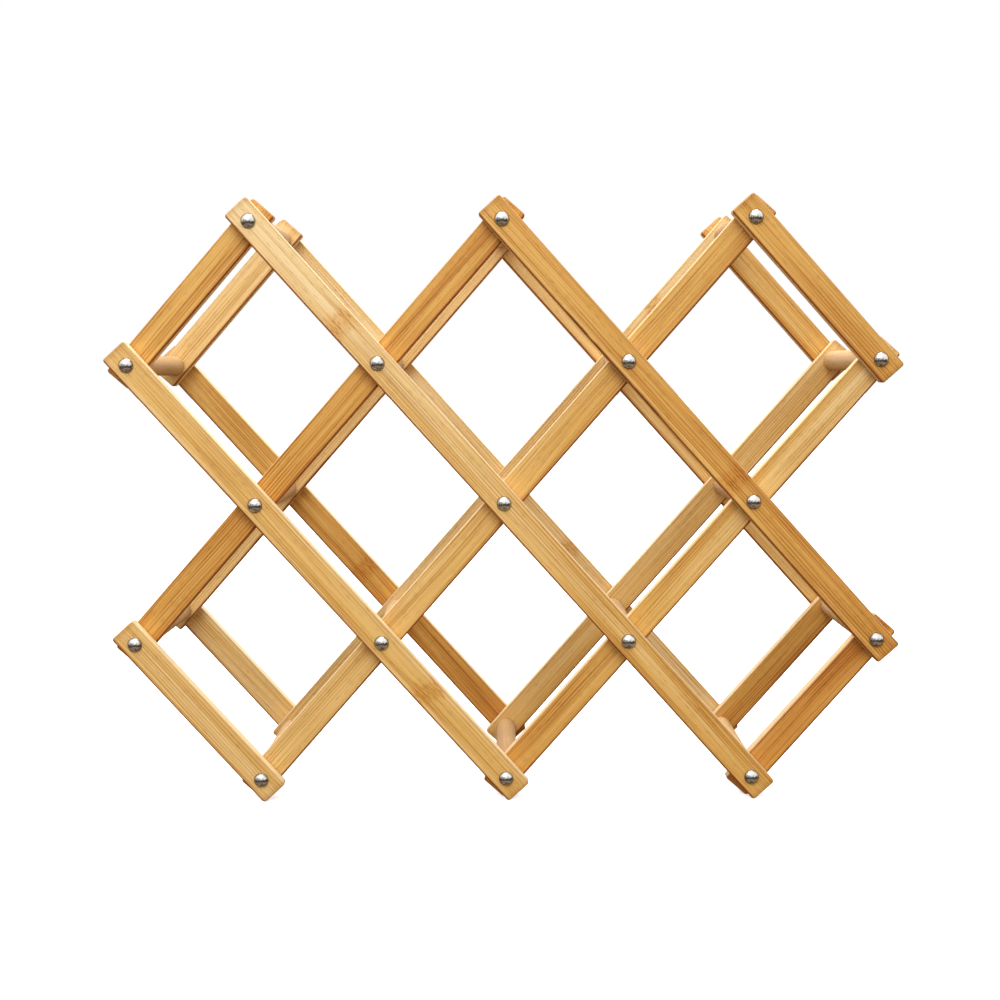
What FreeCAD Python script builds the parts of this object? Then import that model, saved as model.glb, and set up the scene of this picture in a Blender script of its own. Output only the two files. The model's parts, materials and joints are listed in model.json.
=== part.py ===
# A folding lattice rack for ten wine bottles, in millimetres.
#
# Two equal lattices, front and rear, each have five falling slats on the outside and five rising
# slats on the inside. A round dowel joins the two lattices at every crossing, and a domed pin
# driven through both slats into each end of the dowel is the crossing's pivot.
#
# Frame: X is the width, Y the depth with the front at -Y, and Z is up. The origin is on the floor
# under the middle of the rack.
import FreeCAD, Part
import math
import os

import Sketcher
from FreeCAD import Placement, Rotation, Vector

DRIVING_SIZES = {
    "pivot_pitch": 105.0,  # between neighbouring pivots of one slat
    "lean_angle": 48.4,  # degrees, between a slat and the floor
    "slat_width": 16.0,
    "slat_thickness": 8.0,
    "end_overhang": 11.0,  # from a slat's last pivot to its end
    "corner_radius": 1.6,  # of a slat's four end corners
    "arris_radius": 0.8,  # round the outline of a slat's two faces
    "running_gap": 0.3,  # between pieces that turn face to face
    "dowel_diameter": 12.0,
    "dowel_length": 100.0,
    "dowel_chamfer": 0.4,
    "shank_diameter": 3.2,
    "bore_clearance": 0.16,  # that a slat's bore is wider than the shank
    "head_diameter": 8.2,
    "head_height": 2.8,
    "head_rim": 0.5,  # height of the straight edge below the dome
    "head_gap": 0.1,  # under the two heads of the standing crossing
    "pin_grip": 22.0,  # length of a pin inside its dowel
    "pin_point": 3.0,
    "drill_spare": 1.0,  # that a dowel's bore is deeper than its pin
}
SLATS_EACH_WAY = 5
HALF = SLATS_EACH_WAY // 2
# Half rows and half columns of crossings, counted from the middle one.
ROW_REACH = 2
COLUMN_REACH = 3
# The middle crossing of the bottom row, falling slat and rising slat, which stays put in a fold.
STANDING_CROSSING = (-1, 1)

doc = FreeCAD.newDocument("wine_rack")
sheet = doc.addObject("Spreadsheet::Sheet", "Sizes")
for row, (alias, number) in enumerate(DRIVING_SIZES.items(), start=1):
    sheet.set(f"A{row}", alias)
    sheet.set(f"B{row}", str(number))
    sheet.setAlias(f"B{row}", alias)
doc.recompute()

sub_parts = []


def size(expression):
    """The present value of an expression on the sheet's cells."""
    return float(sheet.evalExpression(expression))


# ---------------------------------------------------------------- sketches and bodies


def new_body(label):
    body = doc.addObject("PartDesign::Body", label)
    body.Label = label
    body.AllowCompound = True
    sub_parts.append(body)
    return body


def own_plane(body, role):
    """One of the body's own origin planes."""
    return next(f for f in body.Origin.OriginFeatures if f.Role == role)


def sketch_on(body, name, role):
    """A sketch on one of the body's own origin planes."""
    sketch = body.newObject("Sketcher::SketchObject", name)
    sketch.AttachmentSupport = [(own_plane(body, role), "")]
    sketch.MapMode = "FlatFace"
    return sketch


def bind(sketch, constraint, expression):
    """Add a measured constraint and bind it to the sheet."""
    index = sketch.addConstraint(constraint)
    sketch.setExpression(f"Constraints[{index}]", expression)


def hold_point(sketch, edge, end, across, up):
    """Hold one end of an edge at two expressions, measured from the sketch's origin."""
    for kind, expression, axis in (("DistanceX", across, -2), ("DistanceY", up, -1)):
        value = size(expression)
        if value == 0:
            sketch.addConstraint(Sketcher.Constraint("PointOnObject", edge, end, axis))
        elif value > 0:
            bind(sketch, Sketcher.Constraint(kind, -1, 1, edge, end, value), expression)
        else:
            constraint = Sketcher.Constraint(kind, edge, end, -1, 1, -value)
            bind(sketch, constraint, f"-({expression})")


def circle_at(sketch, across, diameter):
    """A circle on the sketch's horizontal axis."""
    centre = Vector(size(across), 0, 0)
    edge = sketch.addGeometry(Part.Circle(centre, Vector(0, 0, 1), size(diameter) / 2))
    hold_point(sketch, edge, 3, across, "0")
    bind(sketch, Sketcher.Constraint("Diameter", edge, size(diameter)), diameter)


def faces_along_y(feature):
    """Names of the flat faces that look along +Y or -Y."""
    names = []
    for number, face in enumerate(feature.Shape.Faces, start=1):
        if face.Surface.TypeId == "Part::GeomPlane" and abs(face.normalAt(0, 0).y) > 0.99:
            names.append(f"Face{number}")
    return names


def edges_along_y(feature):
    """Names of the straight edges that run along Y."""
    names = []
    for number, edge in enumerate(feature.Shape.Edges, start=1):
        if edge.Curve.TypeId == "Part::GeomLine" and abs(edge.tangentAt(0).y) > 0.99:
            names.append(f"Edge{number}")
    return names


def check_removed(before, after, expected):
    """Stop if a cut took away nothing, or anything but what it should."""
    removed = before.Shape.Volume - after.Shape.Volume
    if abs(removed - expected) > 0.01 * expected:
        raise RuntimeError(f"{after.Name} removed {removed:.2f} mm3, not {expected:.2f}")


# ---------------------------------------------------------------- the three kinds of piece


def make_slat(label, pivots):
    """A flat strip with rounded corners and arrises, bored for its pins at an even pitch."""
    body = new_body(label)
    length = f"{pivots - 1} * Sizes.pivot_pitch + 2 * Sizes.end_overhang"
    width = "Sizes.slat_width"
    outline = sketch_on(body, f"{label}_outline", "XZ_Plane")
    half_length, half_width = size(length) / 2, size(width) / 2
    corners = [
        Vector(-half_length, -half_width, 0),
        Vector(half_length, -half_width, 0),
        Vector(half_length, half_width, 0),
        Vector(-half_length, half_width, 0),
    ]
    for start, end in zip(corners, corners[1:] + corners[:1]):
        outline.addGeometry(Part.LineSegment(start, end))
    for edge in range(4):
        outline.addConstraint(Sketcher.Constraint("Coincident", edge, 2, (edge + 1) % 4, 1))
        level = "Horizontal" if edge % 2 == 0 else "Vertical"
        outline.addConstraint(Sketcher.Constraint(level, edge))
    outline.addConstraint(Sketcher.Constraint("Symmetric", 0, 1, 2, 1, -1, 1))
    bind(outline, Sketcher.Constraint("DistanceX", 0, 1, 0, 2, 2 * half_length), length)
    bind(outline, Sketcher.Constraint("DistanceY", 1, 1, 1, 2, 2 * half_width), width)

    strip = body.newObject("PartDesign::Pad", f"{label}_strip")
    strip.Profile = outline
    strip.Midplane = True
    strip.setExpression("Length", "Sizes.slat_thickness")
    doc.recompute()

    corner = body.newObject("PartDesign::Fillet", f"{label}_corners")
    corner.Base = (strip, edges_along_y(strip))
    corner.setExpression("Radius", "Sizes.corner_radius")
    doc.recompute()

    arris = body.newObject("PartDesign::Fillet", f"{label}_arrises")
    arris.Base = (corner, faces_along_y(corner))
    arris.setExpression("Radius", "Sizes.arris_radius")
    doc.recompute()

    first = sketch_on(body, f"{label}_first_bore", "XZ_Plane")
    bore_diameter = "Sizes.shank_diameter + Sizes.bore_clearance"
    circle_at(first, f"-{pivots - 1} * Sizes.pivot_pitch / 2", bore_diameter)
    bore = body.newObject("PartDesign::Pocket", f"{label}_bore")
    bore.Profile = first
    bore.Type = "ThroughAll"
    bore.Midplane = True

    row = body.newObject("PartDesign::LinearPattern", f"{label}_bores")
    row.Originals = [bore]
    row.Direction = (first, ["H_Axis"])
    row.Occurrences = pivots
    row.setExpression("Length", f"{pivots - 1} * Sizes.pivot_pitch")
    body.Tip = row
    doc.recompute()
    one_bore = math.pi / 4 * size(bore_diameter) ** 2 * size("Sizes.slat_thickness")
    check_removed(arris, row, pivots * one_bore)
    return body


def make_dowel(label):
    """A round spacer with chamfered ends, drilled at both ends for its pins."""
    body = new_body(label)
    section = sketch_on(body, f"{label}_section", "XZ_Plane")
    circle_at(section, "0", "Sizes.dowel_diameter")
    rod = body.newObject("PartDesign::Pad", f"{label}_rod")
    rod.Profile = section
    rod.Midplane = True
    rod.setExpression("Length", "Sizes.dowel_length")
    doc.recompute()

    ends = body.newObject("PartDesign::Chamfer", f"{label}_ends")
    ends.Base = (rod, faces_along_y(rod))
    ends.setExpression("Size", "Sizes.dowel_chamfer")
    doc.recompute()

    mouth = sketch_on(body, f"{label}_mouth", "XZ_Plane")
    mouth.setExpression("AttachmentOffset.Base.z", "Sizes.dowel_length / 2")
    circle_at(mouth, "0", "Sizes.shank_diameter")
    drill = body.newObject("PartDesign::Pocket", f"{label}_drill")
    drill.Profile = mouth
    drill.Type = "Length"
    drill.setExpression("Length", "Sizes.pin_grip + Sizes.drill_spare")

    far_drill = body.newObject("PartDesign::Mirrored", f"{label}_far_drill")
    far_drill.Originals = [drill]
    far_drill.MirrorPlane = (own_plane(body, "XZ_Plane"), [""])
    body.Tip = far_drill
    doc.recompute()
    depth = size("Sizes.pin_grip + Sizes.drill_spare")
    check_removed(ends, far_drill, 2 * depth * math.pi / 4 * size("Sizes.shank_diameter") ** 2)
    return body


def make_pins(label, head_gap):
    """The two domed pins of one crossing: the front one, and its mirror image at the rear."""
    body = new_body(label)
    seat = f"-(Sizes.dowel_length / 2 + 2 * Sizes.running_gap + 2 * Sizes.slat_thickness + {head_gap})"
    tip = "-(Sizes.dowel_length / 2 - Sizes.pin_grip)"
    head = "Sizes.head_diameter / 2"
    shank = "Sizes.shank_diameter / 2"
    corners = [
        ("0", f"{seat} - Sizes.head_height"),
        (head, f"{seat} - Sizes.head_rim"),
        (head, seat),
        (shank, seat),
        (shank, f"{tip} - Sizes.pin_point"),
        ("0", tip),
    ]
    points = [Vector(size(across), size(up), 0) for across, up in corners]
    crown, rim = points[:2]
    rise = rim.y - crown.y
    dome_radius = (rim.x**2 + rise**2) / (2 * rise)
    dome_centre = Vector(0, crown.y + dome_radius, 0)
    dome = Part.Circle(dome_centre, Vector(0, 0, 1), dome_radius)
    crown_angle = -math.pi / 2
    rim_angle = math.atan2(rim.y - dome_centre.y, rim.x)

    profile = sketch_on(body, f"{label}_profile", "XY_Plane")
    profile.addGeometry(Part.ArcOfCircle(dome, crown_angle, rim_angle))
    for start, end in zip(points[1:], points[2:] + points[:1]):
        profile.addGeometry(Part.LineSegment(start, end))
    for edge in range(len(points)):
        following = (edge + 1) % len(points)
        profile.addConstraint(Sketcher.Constraint("Coincident", edge, 2, following, 1))
    profile.addConstraint(Sketcher.Constraint("PointOnObject", 0, 3, -2))
    for edge, (across, up) in enumerate(corners):
        hold_point(profile, edge, 1, across, up)

    front = body.newObject("PartDesign::Revolution", f"{label}_front")
    front.Profile = profile
    front.ReferenceAxis = (profile, ["V_Axis"])
    front.Angle = 360

    rear = body.newObject("PartDesign::Mirrored", f"{label}_rear")
    rear.Originals = [front]
    rear.MirrorPlane = (own_plane(body, "XZ_Plane"), [""])
    body.Tip = rear
    doc.recompute()
    if len(body.Shape.Solids) != 2:
        raise RuntimeError(f"{label} has {len(body.Shape.Solids)} solids, not 2")
    return body


# ---------------------------------------------------------------- places of the crossings

LEAN = math.radians(size("Sizes.lean_angle"))
PITCH = size("Sizes.pivot_pitch")
HALF_COLUMN = PITCH * math.cos(LEAN)
HALF_ROW = PITCH * math.sin(LEAN)
CORNER = size("Sizes.corner_radius")
# How far a rounded slat end reaches below its last pivot, which sets the height of the rack's middle.
FOOT_DROP = (
    (size("Sizes.end_overhang") - CORNER) * math.sin(LEAN)
    + (size("Sizes.slat_width") / 2 - CORNER) * math.cos(LEAN)
    + CORNER
)
MIDDLE_HEIGHT = ROW_REACH * HALF_ROW + FOOT_DROP
LAYER_STEP = size("Sizes.slat_thickness + Sizes.running_gap")
INNER_LAYER = size("Sizes.dowel_length / 2 + Sizes.running_gap + Sizes.slat_thickness / 2")
OUTER_LAYER = INNER_LAYER + LAYER_STEP


def crossing_place(falling, rising, depth=0.0):
    """Where two slat lines cross, from their numbers, counted from the middle of the rack."""
    across = (falling + rising) * HALF_COLUMN
    up = MIDDLE_HEIGHT + (falling - rising) * HALF_ROW
    return Vector(across, depth, up)


def is_crossing(falling, rising):
    return abs(falling - rising) <= ROW_REACH and abs(falling + rising) <= COLUMN_REACH


def crossing_name(falling, rising):
    """Row and column of a crossing, from the top left."""
    row = ROW_REACH - (falling - rising) + 1
    reach = COLUMN_REACH - 1 if row % 2 else COLUMN_REACH
    column = (falling + rising + reach) // 2 + 1
    return f"r{row}c{column}"


line_numbers = range(-HALF, HALF + 1)
along_y = Vector(0, 1, 0)

for number in line_numbers:
    met = [other for other in line_numbers if is_crossing(number, other)]
    middle = (met[0] + met[-1]) / 2
    for side, sign in (("front", -1), ("rear", 1)):
        falling_slat = make_slat(f"{side}_falling_slat_{number + HALF + 1}", len(met))
        falling_slat.Placement = Placement(
            crossing_place(number, middle, sign * OUTER_LAYER),
            Rotation(along_y, math.degrees(LEAN)),
        )
        rising_slat = make_slat(f"{side}_rising_slat_{number + HALF + 1}", len(met))
        rising_slat.Placement = Placement(
            crossing_place(middle, number, sign * INNER_LAYER),
            Rotation(along_y, -math.degrees(LEAN)),
        )

for falling in line_numbers:
    for rising in line_numbers:
        if not is_crossing(falling, rising):
            continue
        name = crossing_name(falling, rising)
        place = Placement(crossing_place(falling, rising), Rotation())
        make_dowel(f"spacer_dowel_{name}").Placement = place
        head_gap = "Sizes.head_gap" if (falling, rising) == STANDING_CROSSING else "0"
        make_pins(f"pivot_pins_{name}", head_gap).Placement = place

# ---------------------------------------------------------------- checks and files

doc.recompute()
for item in doc.Objects:
    if "Invalid" in item.State or "Error" in item.State:
        raise RuntimeError(f"{item.Label} is {item.State}")
for body in sub_parts:
    if body.Shape.isNull() or not body.Shape.isValid():
        raise RuntimeError(f"{body.Label} has no valid shape")

os.makedirs("parts", exist_ok=True)
whole = FreeCAD.BoundBox()
for body in sub_parts:
    body.Shape.exportStep(f"parts/{body.Label}.step")
    whole.add(body.Shape.optimalBoundingBox(False))
print(f"{len(sub_parts)} sub-parts")
print(f"width {whole.XLength:.2f}, depth {whole.YLength:.2f}, height {whole.ZLength:.2f}")
print(f"lowest point {whole.ZMin:.4f}, middle of the width {whole.Center.x:.4f}")
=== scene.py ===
# %% [markdown]
# # A folding bamboo wine rack
#
# The rack is two lattices of flat bamboo slats, held apart by round dowels and pinned together by
# nails with polished domed heads. Every crossing is a pivot, so the whole thing folds like a gate.
# There are only three kinds of piece, and each is repeated many times: this lesson makes each kind
# once, with Geometry Nodes doing the repeating, and puts the effort into the wood.

# %% Load the frame
import json
import math

import bmesh
import bpy
from mathutils import Matrix, Vector


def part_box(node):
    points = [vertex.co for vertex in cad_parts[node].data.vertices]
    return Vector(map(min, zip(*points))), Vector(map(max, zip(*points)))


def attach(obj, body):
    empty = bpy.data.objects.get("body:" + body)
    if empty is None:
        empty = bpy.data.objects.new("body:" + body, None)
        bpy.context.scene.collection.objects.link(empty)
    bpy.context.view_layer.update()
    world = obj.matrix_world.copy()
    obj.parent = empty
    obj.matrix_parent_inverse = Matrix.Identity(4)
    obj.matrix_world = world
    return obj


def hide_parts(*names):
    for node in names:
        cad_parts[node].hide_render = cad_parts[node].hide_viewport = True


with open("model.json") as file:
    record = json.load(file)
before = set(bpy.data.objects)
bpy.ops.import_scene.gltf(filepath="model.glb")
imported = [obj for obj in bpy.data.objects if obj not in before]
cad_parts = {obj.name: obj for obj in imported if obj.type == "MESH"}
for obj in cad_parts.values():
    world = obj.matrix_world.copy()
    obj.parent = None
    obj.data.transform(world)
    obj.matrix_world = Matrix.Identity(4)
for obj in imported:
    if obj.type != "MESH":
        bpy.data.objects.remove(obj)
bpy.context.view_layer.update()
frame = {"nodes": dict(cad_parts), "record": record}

NODES = frame["nodes"]
RECORD = frame["record"]
BODY_OF = {node: body for body, group in RECORD["behaviour"]["bodies"].items() for node in group}

# %% [markdown]
# ## Reading the sizes off the frame
#
# The frame already knows where everything is, so nothing is placed by eye. The dowels mark the
# crossings: two neighbours on one slat give the spacing of the pivots and the lean of the slats.
# Only sizes that the frame cannot show, such as a slat's true width, are written down.

# %% Crossings, spacing and lean
def middle_of(node):
    low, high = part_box(node)
    return (low + high) / 2


DOWELS = sorted(node for node in NODES if node.startswith("spacer_dowel_"))
CROSSING = {node.removeprefix("spacer_dowel_"): middle_of(node) for node in DOWELS}
ALONG_FALLING = CROSSING["r2c2"] - CROSSING["r1c1"]
PITCH = ALONG_FALLING.length
LEAN = math.atan2(-ALONG_FALLING.z, ALONG_FALLING.x)
MIDDLE = CROSSING["r3c2"]

SLAT_WIDTH = 0.016
SLAT_LOW, SLAT_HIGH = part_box("front_falling_slat_3")
SLAT_THICKNESS = SLAT_HIGH.y - SLAT_LOW.y
DOWEL_LOW, DOWEL_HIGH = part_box("spacer_dowel_r3c2")
DOWEL_LENGTH = DOWEL_HIGH.y - DOWEL_LOW.y
DOWEL_RADIUS = (DOWEL_HIGH.x - DOWEL_LOW.x) / 2
PIN_LOW, PIN_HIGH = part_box("pivot_pins_r1c1")
HEAD_RADIUS = (PIN_HIGH.x - PIN_LOW.x) / 2
print(f"pitch {PITCH:.4f} m, lean {math.degrees(LEAN):.2f} degrees, {len(CROSSING)} crossings")

# %% [markdown]
# ## Small helpers for node trees
#
# A node tree written in Python is easier to read when making a node, setting its values and wiring
# it up is one line. `Tree` does that for geometry trees and for shader trees alike. A value given
# to a node may be a plain number, which fills the socket, or another socket, which gets a link.

# %% The Tree helper
class Tree:
    """A node tree with short ways to add nodes and to do sums on sockets."""

    def __init__(self, nodes_tree):
        self.tree = nodes_tree
        self.column = 0

    def add(self, kind, inputs=None, **settings):
        node = self.tree.nodes.new(kind)
        self.column += 1
        node.location = (180 * (self.column % 12), -260 * (self.column // 12))
        for name, value in settings.items():
            setattr(node, name, value)
        for name, value in (inputs or {}).items():
            self.feed(node.inputs[name], value)
        return node

    def feed(self, socket, value):
        if isinstance(value, bpy.types.NodeSocket):
            self.tree.links.new(value, socket)
        else:
            socket.default_value = value

    def math(self, operation, *values):
        node = self.add("ShaderNodeMath", operation=operation)
        for socket, value in zip(node.inputs, values):
            self.feed(socket, value)
        return node.outputs[0]

    def product(self, first, *others):
        """Several masks or shares multiplied together, from left to right."""
        for other in others:
            first = self.math("MULTIPLY", first, other)
        return first

    def noise(self, place, scale=1.0, detail=2.0, roughness=0.5):
        """Soft random values between 0 and 1, over a place in the piece."""
        node = self.add("ShaderNodeTexNoise", {
            "Vector": place, "Scale": scale, "Detail": detail, "Roughness": roughness})
        return node.outputs["Fac"]

    def join(self, *sources):
        node = self.add("GeometryNodeJoinGeometry")
        for source in sources:
            self.tree.links.new(source, node.inputs[0])
        return node.outputs[0]

    def note(self, geometry, name, value, kind="FLOAT", domain="POINT"):
        """The geometry with a value stored on it under a name."""
        node = self.add("GeometryNodeStoreNamedAttribute", {
            "Geometry": geometry, "Name": name, "Value": value}, data_type=kind, domain=domain)
        return node.outputs[0]

    def parts_of(self, vector):
        return self.add("ShaderNodeSeparateXYZ", {"Vector": vector}).outputs

    def vector(self, x, y, z):
        return self.add("ShaderNodeCombineXYZ", {"X": x, "Y": y, "Z": z}).outputs[0]

    def ramp_value(self, value, low, high, to_low=0.0, to_high=1.0):
        """A smooth change from to_low to to_high while value goes from low to high."""
        node = self.add("ShaderNodeMapRange", interpolation_type="SMOOTHSTEP")
        settings = {"Value": value, "From Min": low, "From Max": high}
        settings.update({"To Min": to_low, "To Max": to_high})
        for name, setting in settings.items():
            self.feed(node.inputs[name], setting)
        return node.outputs["Result"]


def new_tree(name, kind, inputs, outputs):
    """An empty tree or group with named sockets: (its Tree, its inputs, its output node)."""
    group = bpy.data.node_groups.new(name, kind)
    for label, socket_type, start in inputs:
        socket = group.interface.new_socket(label, in_out="INPUT", socket_type=socket_type)
        if start is not None:
            socket.default_value = start
    for label, socket_type in outputs:
        group.interface.new_socket(label, in_out="OUTPUT", socket_type=socket_type)
    tree = Tree(group)
    return tree, tree.add("NodeGroupInput").outputs, tree.add("NodeGroupOutput")


FLOAT, INTEGER, VECTOR = "NodeSocketFloat", "NodeSocketInt", "NodeSocketVector"
GEOMETRY, MATERIAL, OBJECT = "NodeSocketGeometry", "NodeSocketMaterial", "NodeSocketObject"
print("helper ready: Tree")

# %% [markdown]
# ## How a tree becomes a plain mesh
#
# A Geometry Nodes modifier is live: it is worked out again whenever something changes. The rack's
# pieces have to be ordinary meshes in the end, so each one is worked out once, copied to a new
# object, and the object that carried the modifier is thrown away.

# %% From a tree to a finished mesh
def shown(thing):
    bpy.context.scene.collection.objects.link(thing)
    return thing


def bake_piece(name, mesh, group, values, finish=None):
    """Run a tree on a mesh with these input values, and return a plain object of the result."""
    carrier = shown(bpy.data.objects.new(f"{name}_carrier", mesh))
    modifier = carrier.modifiers.new("tree", "NODES")
    modifier.node_group = group
    sockets = {item.name: item.identifier for item in group.interface.items_tree
               if item.in_out == "INPUT"}
    for label, value in values.items():
        modifier[sockets[label]] = value
    if finish:
        finish(carrier)
    depsgraph = bpy.context.evaluated_depsgraph_get()
    result = bpy.data.meshes.new_from_object(
        carrier.evaluated_get(depsgraph), preserve_all_data_layers=True, depsgraph=depsgraph
    )
    bpy.data.objects.remove(carrier)
    result.name = name
    return shown(bpy.data.objects.new(name, result))


# %% [markdown]
# ## Shared effects: grain
#
# Bamboo and beech are both bundles of fibres that run one way. The group below takes a place in
# the piece's own measure (along, across, deep, in metres) and squeezes a noise so that it is long
# one way and narrow the other two. Because it is a solid pattern, it also looks right on the end
# of a slat, where the cut fibres show as specks. The short names of its masks say what they are:
# fine fibres, ribs (rows of fibre bundles), streaks, and the slow drift of the tone.

# %% The grain group
SEED_STEP = 7.31       # how far apart two seeds lie in the noise
LARGEST_SLOPE = 0.022  # how far the fibres of a strip may run off its length
BENDS_PER_METRE = 9.0
RIB_SHARE = 0.47       # spacing of the ribs, in fibre widths for each radian of their wave
RIB_WANDER = 11.0      # radians by which the drift pushes the ribs about


def grain_group():
    tree, given, result = new_tree(
        "Fibre Grain",
        "ShaderNodeTree",
        [("Place", VECTOR, None), ("Seed", FLOAT, 0.0), ("Fibre Width", FLOAT, 0.0006),
         ("Fibre Length", FLOAT, 0.06), ("Wander", FLOAT, 0.0006)],
        [("Fine", FLOAT), ("Ribs", FLOAT), ("Streaks", FLOAT), ("Drift", FLOAT)],
    )
    along, across, deep = tree.parts_of(given["Place"])
    shift = tree.product(given["Seed"], SEED_STEP)
    luck = tree.add("ShaderNodeTexWhiteNoise", {"W": given["Seed"]}, noise_dimensions="1D")
    slope = tree.math("SUBTRACT", luck.outputs["Value"], 0.5)
    slope = tree.product(slope, LARGEST_SLOPE)
    across = tree.math("ADD", across, tree.product(along, slope))
    slow = tree.vector(tree.product(along, BENDS_PER_METRE), shift, 0.0)
    bend = tree.math("SUBTRACT", tree.noise(slow, detail=1.0), 0.5)
    across = tree.math("ADD", across, tree.product(bend, given["Wander"], 2.0))
    lengthwise = tree.math("DIVIDE", along, given["Fibre Length"])

    def squeezed(width_share, length_share, salt):
        width = tree.product(given["Fibre Width"], width_share)
        return tree.vector(
            tree.math("ADD", tree.math("DIVIDE", lengthwise, length_share), shift),
            tree.math("ADD", tree.math("DIVIDE", across, width), salt),
            tree.math("DIVIDE", deep, width),
        )

    fine = tree.noise(squeezed(1.0, 1.0, 3.7), detail=3.0, roughness=0.62)
    streaks = tree.noise(squeezed(2.6, 2.2, 41.0))
    drift = tree.noise(squeezed(9.0, 2.0, 87.0), detail=1.0, roughness=0.4)
    # rows of fibre bundles: waves across the strip, broken up along it
    rib_width = tree.product(given["Fibre Width"], RIB_SHARE)
    phase = tree.math("DIVIDE", across, rib_width)
    phase = tree.math("ADD", phase, tree.product(drift, RIB_WANDER))
    wave = tree.math("MULTIPLY_ADD", tree.math("SINE", phase), 0.5, 0.5)
    shown_here = tree.ramp_value(drift, 0.38, 0.58, 0.25, 1.0)
    ribs = tree.product(wave, shown_here)
    for name, mask in (("Ribs", ribs), ("Fine", fine), ("Streaks", streaks), ("Drift", drift)):
        tree.feed(result.inputs[name], mask)
    return tree.tree


FIBRE_GRAIN = grain_group()
print("group:", FIBRE_GRAIN.name, "with", len(FIBRE_GRAIN.nodes), "nodes")

# %% [markdown]
# The second shared group makes short dark dashes: the vessels of the plant, cut open by the plane.
# A Voronoi pattern gives one point per cell, and a random colour per cell lets only some of them
# show, so the dashes are scattered instead of lined up.

# %% The vessel dash group
def dash_group():
    tree, given, result = new_tree(
        "Vessel Dashes",
        "ShaderNodeTree",
        [("Place", VECTOR, None), ("Seed", FLOAT, 0.0), ("Dash Width", FLOAT, 0.0008),
         ("Dash Length", FLOAT, 0.007), ("Share", FLOAT, 0.35)],
        [("Dashes", FLOAT)],
    )
    along, across, deep = tree.parts_of(given["Place"])
    place = tree.vector(
        tree.math("ADD", tree.math("DIVIDE", along, given["Dash Length"]), given["Seed"]),
        tree.math("DIVIDE", across, given["Dash Width"]),
        tree.math("DIVIDE", deep, given["Dash Width"]),
    )
    cells = tree.add("ShaderNodeTexVoronoi", {"Vector": place, "Scale": 1.0, "Randomness": 0.9})
    near = tree.ramp_value(cells.outputs["Distance"], 0.18, 0.42, 1.0, 0.0)
    chosen = tree.math("LESS_THAN", tree.parts_of(cells.outputs["Color"])[0], given["Share"])
    tree.feed(result.inputs["Dashes"], tree.product(near, chosen))
    return tree.tree


VESSEL_DASHES = dash_group()
print("group:", VESSEL_DASHES.name, "with", len(VESSEL_DASHES.nodes), "nodes")

# %% [markdown]
# ## Helpers for materials
#
# A material here is a base colour with one veil after another laid over it, as a finisher would
# do it: `tint` lays one veil, thinned by a mask. `attribute` reads what a mesh has stored.

# %% The material helpers
def attribute(tree, name, output="Fac"):
    return tree.add("ShaderNodeAttribute", attribute_name=name).outputs[output]


def colour_ramp(tree, value, stops):
    node = tree.add("ShaderNodeValToRGB", {"Fac": value})
    node.color_ramp.interpolation = "LINEAR"
    elements = node.color_ramp.elements
    while len(elements) < len(stops):
        elements.new(0.5)
    for element, (position, colour) in zip(elements, stops):
        element.position = position
        element.color = (*colour, 1.0)
    return node.outputs["Color"]


def tint(tree, base, colour, share, blend="MULTIPLY"):
    """Blend a colour over the base by a share that may vary over the surface."""
    node = tree.add("ShaderNodeMix", data_type="RGBA", blend_type=blend)
    factor, under, over = node.inputs[0], node.inputs[6], node.inputs[7]
    tree.feed(factor, share)
    tree.feed(under, base)
    tree.feed(over, (*colour, 1.0) if isinstance(colour, tuple) else colour)
    return node.outputs[2]


def group_in(tree, group, inputs):
    node = tree.add("ShaderNodeGroup", node_tree=group)
    for name, value in inputs.items():
        tree.feed(node.inputs[name], value)
    return node.outputs


def new_material(name):
    material = bpy.data.materials.new(name)
    material.use_nodes = True
    material.node_tree.nodes.clear()
    tree = Tree(material.node_tree)
    shader = tree.add("ShaderNodeBsdfPrincipled")
    tree.add("ShaderNodeOutputMaterial", {"Surface": shader.outputs["BSDF"]})
    return material, tree, shader


print("material helpers ready")

# %% [markdown]
# ## The bamboo: glued strips
#
# The slats are cut from strips of bamboo glued side by side, so a slat shows a few bands of
# slightly different tan along its length, with a hairline where two strips meet. Each slat is
# from another cane, so its tone and its seed are stored on its mesh and read back here, and one
# material serves all twenty slats. A Voronoi pattern in one dimension makes bands of uneven
# width, and the same pattern's distance to the nearest border draws the glue line.

# %% The glued strips
LAMINA_WIDTH = 0.0054
STRIP_UNEVENNESS = 0.7
BAMBOO_TONES = [
    (0.0, (0.89, 0.68, 0.36)),
    (0.25, (0.83, 0.57, 0.23)),
    (0.5, (0.765, 0.465, 0.13)),
    (0.75, (0.69, 0.36, 0.075)),
    (1.0, (0.60, 0.24, 0.042)),
]


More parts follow.
